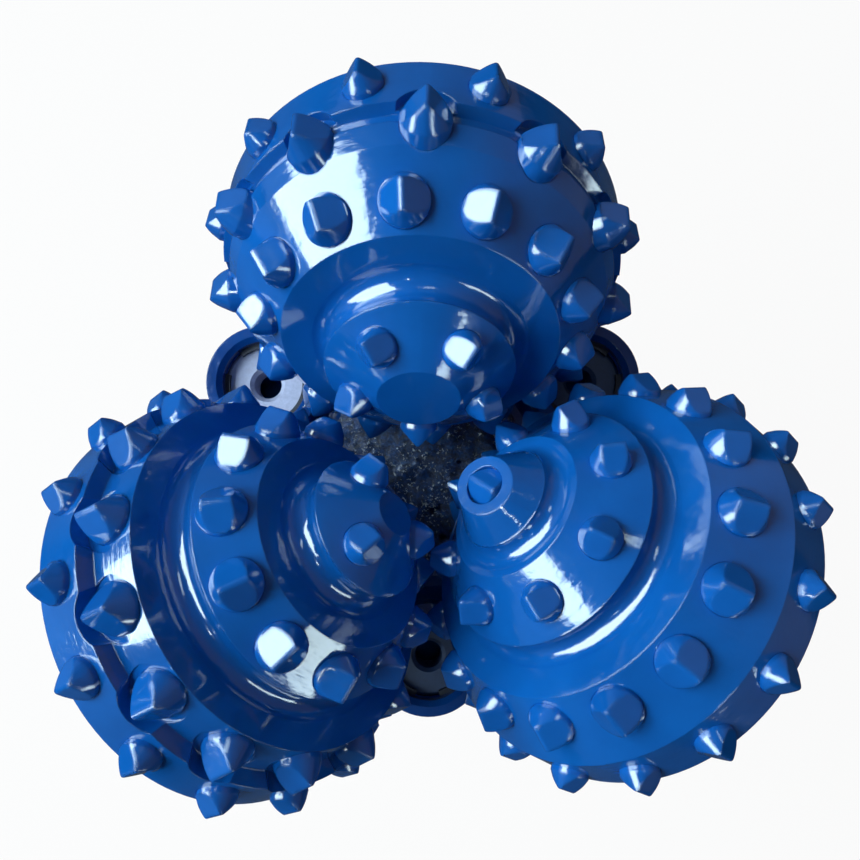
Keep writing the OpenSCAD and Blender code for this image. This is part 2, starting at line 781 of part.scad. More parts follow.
// The leg's arm: a broad foot that ends in a round tongue behind the cone, and a web to its nozzle boss
module arm() {
    half = leg_width / 2;
    intersection() {
        rotate_extrude(angle = 360)
            polygon(leg_outline);
        union() {
            translate([0, cone_offset, arm_foot_z])
                linear_extrude(height = crossing_z - arm_foot_z - 58)
                    polygon([
                        [50, -half], [leg_r - 18, -half], [leg_r - 5, 9 - half], [leg_r, 9 - half],
                        [leg_r, half - 9], [leg_r - 5, half - 9], [leg_r - 18, half], [50, half]
                    ]);
            translate([0, 0, arm_foot_z])
                linear_extrude(height = boss_top_z - arm_foot_z - 14)
                    polygon([
                        polar(62, 28), polar(leg_r - 3, 28),
                        polar(nozzle_pitch_r + 0.7 * boss_r, nozzle_angle - 2),
                        polar(nozzle_pitch_r - 8, nozzle_angle)
                    ]);
            translate([0, cone_offset, crossing_z])
                rotate([0, 90 + journal_angle, 0])
                    translate([0, 0, tongue_start])
                        cylinder(h = tongue_run, r = back_r - 1);
        }
    }
}

cover_z0 = reservoir_flat_r - cover_t - 1.8;

// Reservoir bore, cover seat and snap-ring groove, drilled into the leg's back
module reservoir_bore() {
    translate([0, cone_offset, reservoir_z])
        rotate([0, 90, 0]) {
            translate([0, 0, reservoir_floor_r])
                cylinder(h = 50, d = reservoir_d);
            translate([0, 0, cover_z0])
                cylinder(h = 40, d = reservoir_d + 4);
            translate([0, 0, cover_z0 + cover_t - hole_fit])
                cylinder(h = 1.2 + 2 * hole_fit, d = reservoir_d + 6.4);
            translate([0, 0, reservoir_flat_r])
                cylinder(h = 40, d = reservoir_d + 9);
        }
}

// Ball-loading hole, parallel to the journal's axis on its idle side
module ball_hole() {
    translate([-ball_hole_r_place, 0, race_h])
        cylinder(h = ball_hole_end_h - race_h, d = ball_hole_d);
}

// Grease passage from the reservoir to the ball hole
module grease_passage() {
    start = [reservoir_floor_r + 10, cone_offset, reservoir_z];
    h_end = leg_face_h + 8;
    end = [h_end * cos(journal_angle) - ball_hole_r_place * sin(journal_angle), cone_offset,
           crossing_z - h_end * sin(journal_angle) - ball_hole_r_place * cos(journal_angle)];
    run = end - start;
    translate(start)
        rotate([0, atan2(run[0], run[2]), 0])
            cylinder(h = norm(run), d = grease_d);
}

button_d = 8;
button_edge = 11;
button_grip = 0.5;
// Height of the leg's tip over the cone's axis: its round end or, if lower, where its back meets its face
tip_reach = min(back_r - 1, (leg_r - leg_face_h * cos(journal_angle)) / sin(journal_angle));

// Puts its children on the button places of a leg's tip, with +Z out of the leg's back
module button_places() {
    reach = tip_reach - button_edge;
    for (k = [-button_count:button_count]) {
        angle = k * 26;
        y = cone_offset + reach * sin(angle);
        up = reach * cos(angle);
        h = (leg_r + up * -sin(journal_angle)) / cos(journal_angle);
        z = crossing_z - h * sin(journal_angle) + up * cos(journal_angle);
        translate([0, 0, z])
            rotate([0, 0, asin(y / leg_r)])
                translate([leg_r, 0, 0])
                    rotate([0, 90, 0])
                        children();
    }
}

// The weld band along the seam before a leg
module seam_band(i, crown) {
    leg_frame(i)
        rotate([0, 0, -seam_angle - 2.6])
            rotate_extrude(angle = 5.2)
                polygon([
                    [30, dome_z + crown], [46, dome_z + crown], [62.5, dome_z - 6 + crown],
                    [80 + crown, dome_z - 20 + crown], [body_r + crown, dome_z - 36],
                    [body_r + crown, pin_length + foot_h], [body_r - 2 + crown, pin_length + 0.75 * foot_h],
                    [shoulder_d / 2 + 9 + crown, pin_length + 0.32 * foot_h],
                    [shoulder_d / 2 + 4, pin_length + 0.18 * foot_h],
                    [shoulder_d / 2 + 9 - weld_depth, pin_length + 0.32 * foot_h + weld_depth],
                    [body_r - 2 - weld_depth, pin_length + 0.8 * foot_h],
                    [body_r - weld_depth, pin_length + foot_h],
                    [body_r - weld_depth, dome_z - 38 - weld_depth / 2],
                    [78 - weld_depth / 2, dome_z - 22 - weld_depth / 2],
                    [61, dome_z - 7 - weld_depth], [45, dome_z - weld_depth], [30, dome_z - weld_depth]
                ]);
}

module leg(i) {
    color(lacquer)
        difference() {
            union() {
                difference() {
                    intersection() {
                        union() {
                            pin_blank();
                            rotate_extrude(angle = 360)
                                polygon(body_outline);
                            leg_frame(i) nozzle_boss();
                            leg_frame(i) arm();
                        }
                        leg_frame(i)
                            rotate([0, 0, -seam_angle])
                                rotate_extrude(angle = leg_sector)
                                    square([leg_r + 5, crossing_z]);
                    }
                    for (k = [0:2])
                        cone_frame(k) cone_sweep();
                    leg_frame(i) breaker_slot();
                    leg_frame(i) nozzle_pocket();
                    leg_frame(i) reservoir_bore();
                    waterway();
                    for (k = [0:2])
                        seam_band(k, 2);
                }
                cone_frame(i) journal();
            }
            cone_frame(i) ball_hole();
            leg_frame(i) grease_passage();
            leg_frame(i)
                button_places()
                    translate([0, 0, -button_grip * button_d - insert_gap])
                        cylinder(h = 2 * button_d, d = button_d + 2 * insert_gap);
        }
}

// The slot that the breaker plate grips, cut flat across the leg's foot
module breaker_slot() {
    translate([breaker_r, -leg_width, pin_length + breaker_z])
        cube([leg_r, 2 * leg_width, breaker_h]);
}

module leg_1() { leg(0); }
module leg_2() { leg(1); }
module leg_3() { leg(2); }

module seam_welds() {
    color(lacquer)
        for (i = [0:2])
            difference() {
                seam_band(i, weld_crown);
                for (k = [0:2])
                    cone_frame(k) cone_sweep();
            }
}

module ball_plugs() {
    color(steel)
        for (i = [0:2])
            intersection() {
                cone_frame(i)
                    translate([-ball_hole_r_place, 0, plug_start_h])
                        cylinder(h = ball_hole_end_h - plug_start_h, d = ball_hole_d - 2 * insert_gap);
                cylinder(h = crossing_z, r = leg_r - 0.6);
            }
}

module leg_buttons() {
    color(carbide)
        for (i = [0:2])
            leg_frame(i)
                button_places()
                    flush_compact(button_d, 0.5, button_grip);
}

// A nozzle with a funnelled throat and a chamfered face
module nozzle(i) {
    r = nozzle_d / 2;
    color(carbide)
        leg_frame(i)
            rotate([0, 0, nozzle_angle])
                translate([nozzle_pitch_r, 0, 0])
                    rotate_extrude(angle = 360)
                        polygon([
                            [throat_d / 2 + 6, nozzle_seat_z + hole_fit],
                            [r - 0.5, nozzle_seat_z + hole_fit],
                            [r, nozzle_seat_z + 0.6], [r, nozzle_face_z - 1], [r - 1, nozzle_face_z],
                            [throat_d / 2 + 1.5, nozzle_face_z], [throat_d / 2, nozzle_face_z - 1.5],
                            [throat_d / 2, nozzle_seat_z + 12], [throat_d / 2 + 2, nozzle_seat_z + 6]
                        ]);
}

module nozzle_1() { nozzle(0); }
module nozzle_2() { nozzle(1); }
module nozzle_3() { nozzle(2); }

// Puts its children on the axis of every nozzle
module at_nozzles() {
    for (i = [0:2])
        leg_frame(i)
            rotate([0, 0, nozzle_angle])
                translate([nozzle_pitch_r, 0, 0])
                    children();
}

module nozzle_seals() {
    wire = seal_groove_depth - 0.1;
    color(rubber)
        at_nozzles()
            translate([0, 0, seal_groove_z + seal_groove_h / 2])
                rotate_extrude(angle = 360)
                    translate([nozzle_d / 2 + 0.05 + wire / 2, 0])
                        circle(d = wire);
}

module nozzle_snap_rings() {
    outer = nozzle_d / 2 + 1.45;
    color(steel)
        at_nozzles()
            translate([0, 0, snap_z])
                rotate([0, 0, 15])
                    rotate_extrude(angle = 325)
                        translate([outer - 3.4, 0])
                            square([3.4, snap_t]);
}

// Puts its children on the axis of every reservoir, with +Z out of the bit
module at_reservoirs() {
    for (i = [0:2])
        leg_frame(i)
            translate([0, cone_offset, reservoir_z])
                rotate([0, 90, 0])
                    children();
}

cup_wall = 1.2;
cup_top = cover_z0 - 2.6;

module reservoir_cups() {
    r = reservoir_d / 2 - hole_fit;
    floor_r = reservoir_floor_r + 0.1;
    color(steel)
        at_reservoirs()
            rotate_extrude(angle = 360)
                polygon([
                    [2, floor_r], [r, floor_r], [r, cup_top], [r - cup_wall, cup_top],
                    [r - cup_wall, floor_r + cup_wall], [2, floor_r + cup_wall]
                ]);
}

// A rubber boot that folds down into the cup and seals on its rim
module reservoir_diaphragms() {
    r = reservoir_d / 2 - 0.2;
    inner = r - cup_wall - 1.2;
    depth = 16;
    t = 1.6;
    color(rubber)
        at_reservoirs()
            rotate_extrude(angle = 360)
                polygon([
                    [0, cup_top - depth], [inner - 4, cup_top - depth], [inner - 1, cup_top - depth + 4],
                    [inner, cup_top + 0.1], [r, cup_top + 0.1],
                    [r, cover_z0 - 0.1], [inner - t, cover_z0 - 0.1],
                    [inner - 1 - t, cup_top - depth + 4 + t], [inner - 4 - t, cup_top - depth + t],
                    [0, cup_top - depth + t]
                ]);
}

module reservoir_covers() {
    color(steel)
        at_reservoirs()
            translate([0, 0, cover_z0])
                difference() {
                    cylinder(h = cover_t - hole_fit, d = reservoir_d + 4 - 2 * hole_fit);
                    translate([0, 0, -1])
                        cylinder(h = cover_t + 2, d = grease_d);
                    translate([0, 0, cover_t - 1.2])
                        cylinder(h = 2, d = reservoir_d * 0.5);
                }
}

module reservoir_snap_rings() {
    outer = reservoir_d / 2 + 3.15;
    color(steel)
        at_reservoirs()
            translate([0, 0, cover_z0 + cover_t])
                rotate([0, 0, 20])
                    rotate_extrude(angle = 320)
                        translate([outer - 3.6, 0])
                            square([3.6, 1.2]);
}

leg_1();
leg_2();
leg_3();
seam_welds();
ball_plugs();
thrust_washers();
balls_1();
balls_2();
balls_3();
leg_buttons();
nozzle_1();
nozzle_2();
nozzle_3();
nozzle_seals();
nozzle_snap_rings();
reservoir_cups();
reservoir_diaphragms();
reservoir_covers();
reservoir_snap_rings();
cone_1_shell();
cone_1_bushing();
cone_1_pilot_bushing();
cone_1_seal();
cone_1_snout_insert();
cone_1_inner_inserts();
cone_1_middle_inserts();
cone_1_gauge_inserts();
cone_1_heel_compacts();
cone_2_shell();
cone_2_bushing();
cone_2_pilot_bushing();
cone_2_seal();
cone_2_nose_inserts();
cone_2_inner_inserts();
cone_2_heel_inserts();
cone_2_gauge_inserts();
cone_2_heel_compacts();
cone_3_shell();
cone_3_bushing();
cone_3_pilot_bushing();
cone_3_seal();
cone_3_nose_inserts();
cone_3_middle_inserts();
cone_3_heel_inserts();
cone_3_gauge_inserts();
cone_3_heel_compacts();
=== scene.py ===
"""Looks of a three-cone rolling cutter bit: lacquer, thread, weld beads, crust, light and camera.

Shapes are in millimetres and turned into metres by MM. Noise scales are per metre, and the reliefs of
the lacquer are in metres.
"""

import json
import math
import random

import bpy
from mathutils import Matrix, Vector


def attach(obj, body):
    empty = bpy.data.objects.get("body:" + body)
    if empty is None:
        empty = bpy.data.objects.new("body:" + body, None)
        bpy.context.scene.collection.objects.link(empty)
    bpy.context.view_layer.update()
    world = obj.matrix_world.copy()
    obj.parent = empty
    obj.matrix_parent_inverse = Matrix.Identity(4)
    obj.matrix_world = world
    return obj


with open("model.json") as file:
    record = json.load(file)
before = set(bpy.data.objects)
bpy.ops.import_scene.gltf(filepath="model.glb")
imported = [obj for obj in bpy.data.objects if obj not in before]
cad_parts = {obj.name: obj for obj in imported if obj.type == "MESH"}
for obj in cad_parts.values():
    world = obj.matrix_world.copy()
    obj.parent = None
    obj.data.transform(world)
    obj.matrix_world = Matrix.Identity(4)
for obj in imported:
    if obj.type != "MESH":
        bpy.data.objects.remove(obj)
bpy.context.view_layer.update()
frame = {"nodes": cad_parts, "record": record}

MM = 0.001
# Sizes of the solids that the pieces here sit on, in millimetres
SEAM_ANGLES = (330 - 36, 210 - 36, 90 - 36)
PIN_LENGTH = 107.95
RELIEF_LENGTH = 11.0
LARGE_R = 117.475 / 2
THREAD_DEPTH = 3.6
TAPER = 0.25
PITCH = 25.4 / 5
DOME_Z = 196.0
BODY_R = 87.0
FOOT_H = 38.0
WELD_CROWN = 0.8
SHOULDER_R = 134.5 / 2

# Relief of the lacquer's bumps, in metres
ORANGE_PEEL = 0.00016
GRAIN_RELIEF = 0.000018
LATHE_RELIEF = 0.00005
MARKS_PER_METRE = 1100
MARKS_PER_RADIAN = 9

# Share of the floor that is plain white to the camera; the rest takes the object's shadow
WHITE_SHARE = 0.94


# Materials

def new_material(name):
    """A node material with its Principled shader."""
    material = bpy.data.materials.new(name)
    material.use_nodes = True
    shader = material.node_tree.nodes["Principled BSDF"]
    return material, material.node_tree, shader


def noise(tree, scale, detail=2.0, roughness=0.5):
    """Noise in the object's own coordinates, so that it turns with its body."""
    coordinates = tree.nodes.new("ShaderNodeTexCoord")
    texture = tree.nodes.new("ShaderNodeTexNoise")
    texture.inputs["Scale"].default_value = scale
    texture.inputs["Detail"].default_value = detail
    texture.inputs["Roughness"].default_value = roughness
    tree.links.new(coordinates.outputs["Object"], texture.inputs["Vector"])
    return texture


def ramp(tree, source, stops):
    """A colour ramp over a texture's factor."""
    node = tree.nodes.new("ShaderNodeValToRGB")
    elements = node.color_ramp.elements
    elements[0].position, elements[0].color = stops[0][0], (*stops[0][1], 1)
    elements[1].position, elements[1].color = stops[-1][0], (*stops[-1][1], 1)
    for place, colour in stops[1:-1]:
        elements.new(place).color = (*colour, 1)
    tree.links.new(source, node.inputs["Fac"])
    return node


def grey(value):
    return (value, value, value)


def add_bump(tree, shader, height, strength, distance, base=None):
    """A bump on top of another bump, if one is given."""
    bump = tree.nodes.new("ShaderNodeBump")
    bump.inputs["Strength"].default_value = strength
    bump.inputs["Distance"].default_value = distance
    tree.links.new(height, bump.inputs["Height"])
    if base is not None:
        tree.links.new(base.outputs["Normal"], bump.inputs["Normal"])
    tree.links.new(bump.outputs["Normal"], shader.inputs["Normal"])
    return bump


def turning_marks(tree, centre, axis):
    """Noise that hardly changes round a cone's axis, as on a turned surface."""
    coordinates = tree.nodes.new("ShaderNodeTexCoord")
    local = tree.nodes.new("ShaderNodeVectorMath")
    local.operation = "SUBTRACT"
    local.inputs[1].default_value = centre
    tree.links.new(coordinates.outputs["Object"], local.inputs[0])
    side = axis.orthogonal().normalized()
    marks = tree.nodes.new("ShaderNodeCombineXYZ")
    sides = []
    for direction in (axis, side, axis.cross(side)):
        dot = tree.nodes.new("ShaderNodeVectorMath")
        dot.operation = "DOT_PRODUCT"
        dot.inputs[1].default_value = direction
        tree.links.new(local.outputs["Vector"], dot.inputs[0])
        sides.append(dot.outputs["Value"])
    along = tree.nodes.new("ShaderNodeMath")
    along.operation = "MULTIPLY"
    along.inputs[1].default_value = MARKS_PER_METRE
    tree.links.new(sides[0], along.inputs[0])
    turn = tree.nodes.new("ShaderNodeMath")
    turn.operation = "ARCTAN2"
    tree.links.new(sides[1], turn.inputs[0])
    tree.links.new(sides[2], turn.inputs[1])
    round_axis = tree.nodes.new("ShaderNodeMath")
    round_axis.operation = "MULTIPLY"
    round_axis.inputs[1].default_value = MARKS_PER_RADIAN
    tree.links.new(turn.outputs["Value"], round_axis.inputs[0])
    tree.links.new(along.outputs["Value"], marks.inputs["X"])
    tree.links.new(round_axis.outputs["Value"], marks.inputs["Y"])
    texture = tree.nodes.new("ShaderNodeTexNoise")
    texture.inputs["Scale"].default_value = 1.0
    texture.inputs["Detail"].default_value = 3.0
    tree.links.new(marks.outputs["Vector"], texture.inputs["Vector"])
    return texture


def lacquer(name, colour_low, colour_high, roughness=0.07, peel=1.0, edge_radius=0.0006, turned=None):
    """Thick glossy lacquer with orange peel, soft edges and, on turned parts, the lathe's marks."""
    material, tree, shader = new_material(name)
    shader.inputs["Coat Weight"].default_value = 0.5
    shader.inputs["Coat Roughness"].default_value = 0.03
    cloud = noise(tree, 38, 4)
    colour = ramp(tree, cloud.outputs["Fac"], [(0.35, colour_low), (0.65, colour_high)])
    tree.links.new(colour.outputs["Color"], shader.inputs["Base Color"])
    grain = noise(tree, 700, 3, 0.6)
    gloss = ramp(tree, grain.outputs["Fac"], [(0.4, grey(roughness)), (0.75, grey(roughness + 0.08))])
    tree.links.new(gloss.outputs["Color"], shader.inputs["Roughness"])
    edge = tree.nodes.new("ShaderNodeBevel")
    edge.samples = 4
    edge.inputs["Radius"].default_value = edge_radius
    wave = noise(tree, 150, 2)
    broad = add_bump(tree, shader, wave.outputs["Fac"], peel, ORANGE_PEEL, edge)
    fine = add_bump(tree, shader, grain.outputs["Fac"], peel, GRAIN_RELIEF, broad)
    if turned is not None:
        marks = turning_marks(tree, *turned)
        add_bump(tree, shader, marks.outputs["Fac"], 1.0, LATHE_RELIEF, fine)
    return material


def crust_material():
    """Rough weld metal under lacquer, with a very dark base that is partly painted shade of the hollow
    between the cones, and white specks on its grains that are painted glints.
    """
    material, tree, shader = new_material("crust_painted_shade_and_glints")
    shader.inputs["Coat Weight"].default_value = 0.3
    shader.inputs["Coat Roughness"].default_value = 0.12
    lumps = noise(tree, 420, 6, 0.7)
    grains = noise(tree, 900, 3, 0.6)
    clusters = noise(tree, 130, 2, 0.5)
    # Very dark blue base: partly painted shade of the hollow between the cones.
    base = ramp(tree, lumps.outputs["Fac"], [
        (0.40, (0.002, 0.012, 0.055)), (0.58, (0.006, 0.05, 0.22)), (0.72, (0.016, 0.13, 0.43))])
    # White specks in clusters: painted glints of the grains.
    glint_specks = ramp(tree, grains.outputs["Fac"], [(0.58, grey(0.0)), (0.64, grey(1.0))])
    patchy = ramp(tree, clusters.outputs["Fac"], [(0.45, grey(0.0)), (0.58, grey(1.0))])
    share = tree.nodes.new("ShaderNodeMath")
    share.operation = "MULTIPLY"
    tree.links.new(glint_specks.outputs["Color"], share.inputs[0])
    tree.links.new(patchy.outputs["Color"], share.inputs[1])
    mix = tree.nodes.new("ShaderNodeMix")
    mix.data_type = "RGBA"
    tree.links.new(share.outputs[0], mix.inputs["Factor"])
    tree.links.new(base.outputs["Color"], mix.inputs["A"])
    mix.inputs["B"].default_value = (0.66, 0.76, 0.9, 1)
    tree.links.new(mix.outputs["Result"], shader.inputs["Base Color"])
    shader.inputs["Roughness"].default_value = 0.3
    rough = add_bump(tree, shader, lumps.outputs["Fac"], 0.9, 0.0012)
    add_bump(tree, shader, grains.outputs["Fac"], 0.8, 0.0006, rough)
    return material


def metal(name, colour, roughness, grain_scale=700, metallic=1.0):
    """Machined metal with a fine grain."""
    material, tree, shader = new_material(name)
    shader.inputs["Metallic"].default_value = metallic
    grain = noise(tree, grain_scale, 4, 0.6)
    dark = tuple(0.75 * c for c in colour)
    tint = ramp(tree, grain.outputs["Fac"], [(0.3, dark), (0.7, colour)])
    tree.links.new(tint.outputs["Color"], shader.inputs["Base Color"])
    gloss = ramp(tree, grain.outputs["Fac"], [(0.3, grey(roughness)), (0.7, grey(roughness + 0.15))])
    tree.links.new(gloss.outputs["Color"], shader.inputs["Roughness"])
    add_bump(tree, shader, grain.outputs["Fac"], 0.25, 0.0002)
    return material


def rubber_material():
    material, tree, shader = new_material("rubber_black")
    grain = noise(tree, 1200, 2)
    tint = ramp(tree, grain.outputs["Fac"], [(0.3, grey(0.012)), (0.7, grey(0.03))])
    tree.links.new(tint.outputs["Color"], shader.inputs["Base Color"])
    shader.inputs["Roughness"].default_value = 0.6
    return material


BLUE_LOW = (0.0028, 0.086, 0.35)
BLUE_HIGH = (0.0042, 0.11, 0.43)
MATERIALS = {
    "blue_lacquer": lacquer("lacquer_blue", BLUE_LOW, BLUE_HIGH),
    "bearing_steel": metal("steel_polished", (0.55, 0.56, 0.58), 0.18),
    "spring_steel": metal("steel_phosphated", (0.045, 0.047, 0.06), 0.4),
    "bearing_bronze": metal("bronze", (0.62, 0.42, 0.20), 0.3),
    "bare_carbide": metal("carbide", (0.33, 0.33, 0.37), 0.3),
    "nozzle_carbide": metal("carbide_nozzle", (0.36, 0.37, 0.54), 0.55, 500, 0.15),
    "black_rubber": rubber_material(),
}
INSERT_LACQUER = lacquer("lacquer_insert", (0.0034, 0.09, 0.365), (0.0055, 0.118, 0.465), 0.05, 0.5, 0.0015)
# Legs, bosses and welds carry the cones' paint, but a darker lacquer here: painted shade, as they lie in
# shadow under the cones.
SHADED_BODY_LACQUER = lacquer("lacquer_body", (0.0018, 0.04, 0.195), (0.0032, 0.063, 0.285), 0.12, 2.2)
# Two nozzles are darkened with painted shade of the bosses they sit in.
SHADED_NOZZLE = metal("carbide_nozzle_painted_shade", (0.025, 0.052, 0.14), 0.4, 500, 0.1)
CRUST = crust_material()
CONE_LACQUER = {}
for joint in frame["record"]["behaviour"]["joints"]:
    cone_axis = Vector(joint["axis"]).normalized()
    CONE_LACQUER[joint["child"]] = lacquer(
        "lacquer_" + joint["child"], BLUE_LOW, BLUE_HIGH, turned=(Vector(joint["pos_m"]), cone_axis))


def paint(node, material):
    node.data.materials.clear()
    node.data.materials.append(material)


def paint_nodes():
    """Gives every solid the material of its slot, with its own lacquer for inserts, legs and cones.

    One nozzle is bare; the other two, like the legs and welds, are darkened with painted shade."""
    slots = {entry["node"]: entry["material_slot"] for entry in frame["record"]["subparts"]}
    for name, node in frame["nodes"].items():
        material = MATERIALS[slots[name]]
        if name.endswith("_inserts") or name.endswith("_insert"):
            material = INSERT_LACQUER
        # Painted shade: legs and seam welds get the darker lacquer.
        if name.startswith("leg_") and material is MATERIALS["blue_lacquer"]:
            material = SHADED_BODY_LACQUER
        if name == "seam_welds":
            material = SHADED_BODY_LACQUER
        # Painted shade on the nozzles at the upper right and at the bottom.
        if name in ("nozzle_1", "nozzle_2"):
            material = SHADED_NOZZLE
        if name.endswith("_shell"):
            material = CONE_LACQUER[name[:-6]]
        paint(node, material)


# Pieces

def mesh_piece(name, vertices, faces, material, body="body", smooth=True):
    """A mesh from points in millimetres, which rides on a body."""
    mesh = bpy.data.meshes.new(name)
    mesh.from_pydata([(x * MM, y * MM, z * MM) for x, y, z in vertices], [], faces)
    mesh.validate()
    mesh.materials.append(material)
    for polygon in mesh.polygons:
        polygon.use_smooth = smooth
    piece = bpy.data.objects.new(name, mesh)
    bpy.context.scene.collection.objects.link(piece)
    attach(piece, body)
    return piece


def sweep(sections, closed_section=True):
    """Faces over a list of point rings of equal length, with flat ends."""
    count = len(sections[0])
    vertices = [point for section in sections for point in section]
    faces = []
    for i in range(len(sections) - 1):
        for j in range(count if closed_section else count - 1):
            k = (j + 1) % count
            faces.append((i * count + j, i * count + k, (i + 1) * count + k, (i + 1) * count + j))
    if closed_section:
        last = (len(sections) - 1) * count
        faces.append(tuple(reversed(range(count))))
        faces.append(tuple(range(last, last + count)))
    return vertices, faces


def pin_thread():
    """The tapered thread: one ridge wound over the pin's root, fading out at both ends."""
    start_z, end_z = 5.0, PIN_LENGTH - RELIEF_LENGTH - 1.0
    steps_per_turn = 72
    turns = (end_z - start_z) / PITCH
    count = int(turns * steps_per_turn)
    crest, foot = 0.55, 2.3
    sections = []
    for i in range(count + 1):
        turn = i / steps_per_turn
        angle = 2 * math.pi * turn
        z = start_z + turn * PITCH
        large_z = PIN_LENGTH - RELIEF_LENGTH
        root = LARGE_R - THREAD_DEPTH - max(0.0, large_z - z) * TAPER / 2
        fade = min(1.0, turn / 0.5, (turns - turn) / 0.5)
        height = max(0.02, (THREAD_DEPTH - 0.15) * fade)
        profile = [(-0.3, -foot), (height * 0.93, -crest - 0.12), (height, -crest),
                   (height, crest), (height * 0.93, crest + 0.12), (-0.3, foot)]
        sections.append([((root + r) * math.cos(angle), (root + r) * math.sin(angle), z + dz)
                         for r, dz in profile])
    vertices, faces = sweep(sections)
    return mesh_piece("pin_thread", vertices, faces, MATERIALS["blue_lacquer"], smooth=False)


def resample(points, step):
    """Points every step along a polyline, each with its distance from the start."""
    result, travelled = [], 0.0
    for (r0, z0), (r1, z1) in zip(points, points[1:]):
        length = math.hypot(r1 - r0, z1 - z0)
        count = max(1, round(length / step))
        for k in range(count):
            t = k / count
            result.append((r0 + (r1 - r0) * t, z0 + (z1 - z0) * t, travelled + length * t))
        travelled += length
    result.append((*points[-1], travelled))
    return result


def weld_bead(index, azimuth):
    """A rippled bead down one seam, over the plain band of the solid."""
    outline = [
        (34, DOME_Z), (46, DOME_Z), (62, DOME_Z - 6), (80, DOME_Z - 20), (BODY_R, DOME_Z - 36),
        (BODY_R, PIN_LENGTH + FOOT_H), (BODY_R - 2, PIN_LENGTH + 0.75 * FOOT_H),
        (SHOULDER_R + 9, PIN_LENGTH + 0.32 * FOOT_H),
    ]
    path = resample(outline, 0.6)
    ripple, half_width, columns = 2.6, 3.3, 12
    crown, step, roughness, fade_length = 1.15, 0.32, 0.06, 4
    draw = random.Random(40 + index)
    sections = []
    for k, (r, z, s) in enumerate(path):
        before, after = path[max(0, k - 1)], path[min(len(path) - 1, k + 1)]
        dr, dz = after[0] - before[0], after[1] - before[1]
        length = math.hypot(dr, dz)
        nr, nz = -dz / length, dr / length
        if nr < 0 or (nr == 0 and nz < 0):
            nr, nz = -nr, -nz
        fade = min(1.0, s / fade_length, (path[-1][2] - s) / fade_length)
        section = []
        for c in range(columns + 1):
            across = -1 + 2 * c / columns
            phase = (s + 1.5 * across * across) / ripple % 1.0
            height = (WELD_CROWN - 0.2) + fade * (crown * math.sqrt(max(0, 1 - across * across))
                                              + step * phase + draw.uniform(-roughness, roughness))
            side = across * half_width
            radius, up = r + nr * height, z + nz * height
            angle = math.radians(azimuth)
            section.append((radius * math.cos(angle) - side * math.sin(angle),
                            radius * math.sin(angle) + side * math.cos(angle), up))
        sections.append(section)
    vertices, faces = sweep(sections, closed_section=False)
    return mesh_piece(f"weld_bead_{index + 1}", vertices, faces, SHADED_BODY_LACQUER)


def dome_crust():
    """Rough deposit over the middle of the dome between the cones."""
    draw = random.Random(7)
    rings, spokes, reach = 46, 180, 44.0
    lump_count, spread, rim, highest = 520, 42, 5, 2.2
    vertices, faces = [], []
    lumps = [(draw.uniform(-spread, spread), draw.uniform(-spread, spread),
              draw.uniform(1.0, 3.4), draw.uniform(0.2, 0.9)) for _ in range(lump_count)]
    for i in range(rings + 1):
        r = reach * i / rings
        for j in range(spokes):
            angle = 2 * math.pi * j / spokes
            x, y = r * math.cos(angle), r * math.sin(angle)
            height = 0.4
            for lump_x, lump_y, size, lift in lumps:
                d2 = ((x - lump_x) ** 2 + (y - lump_y) ** 2) / (size * size)
                if d2 < 4:
                    height += lift * math.exp(-d2)
            edge = min(1.0, (reach - r) / rim)
            vertices.append((x, y, DOME_Z - 0.4 + edge * min(height, highest)))
    for i in range(rings):
        for j in range(spokes):
            k = (j + 1) % spokes
            faces.append((i * spokes + j, (i + 1) * spokes + j, (i + 1) * spokes + k, i * spokes + k))
    return mesh_piece("dome_crust", vertices, faces, CRUST)


# Stage

def floor_material():
    """White to the camera, with the object's shadow on it, and dim in reflections."""
    material, tree, shader = new_material("floor_white")
    shader.inputs["Base Color"].default_value = (0.55, 0.55, 0.56, 1)
    shader.inputs["Roughness"].default_value = 0.9
    path = tree.nodes.new("ShaderNodeLightPath")
    glow = tree.nodes.new("ShaderNodeEmission")
    glow.inputs["Color"].default_value = (1, 1, 1, 1)
    glow.inputs["Strength"].default_value = 1.0
    share = tree.nodes.new("ShaderNodeMath")
    share.operation = "MULTIPLY"
    share.inputs[1].default_value = WHITE_SHARE
    tree.links.new(path.outputs["Is Camera Ray"], share.inputs[0])
    mix = tree.nodes.new("ShaderNodeMixShader")
    tree.links.new(share.outputs[0], mix.inputs["Fac"])
    tree.links.new(shader.outputs["BSDF"], mix.inputs[1])
    tree.links.new(glow.outputs["Emission"], mix.inputs[2])
    dim = tree.nodes.new("ShaderNodeBsdfDiffuse")
    dim.inputs["Color"].default_value = (0.07, 0.075, 0.09, 1)
    reflected = tree.nodes.new("ShaderNodeMixShader")
    tree.links.new(path.outputs["Is Glossy Ray"], reflected.inputs["Fac"])
    tree.links.new(mix.outputs["Shader"], reflected.inputs[1])
    tree.links.new(dim.outputs["BSDF"], reflected.inputs[2])
    tree.links.new(reflected.outputs["Shader"], tree.nodes["Material Output"].inputs["Surface"])
    return material


def make_floor():
    bpy.ops.mesh.primitive_plane_add(size=12, location=(0, 0, 0))
    floor = bpy.context.object
    floor.name = "floor"
    floor.data.materials.append(floor_material())


def softbox(name, place, target, size, power, colour=(1, 1, 1)):
    """A rectangular soft light that looks at a point."""
    data = bpy.data.lights.new(name, "AREA")
    data.shape = "RECTANGLE"
    data.size, data.size_y = size
    data.energy = power
    data.color = colour
    lamp = bpy.data.objects.new(name, data)
    lamp.location = place
    direction = Vector(target) - Vector(place)
    lamp.rotation_euler = direction.to_track_quat("-Z", "Y").to_euler()
    bpy.context.scene.collection.objects.link(lamp)
    return lamp


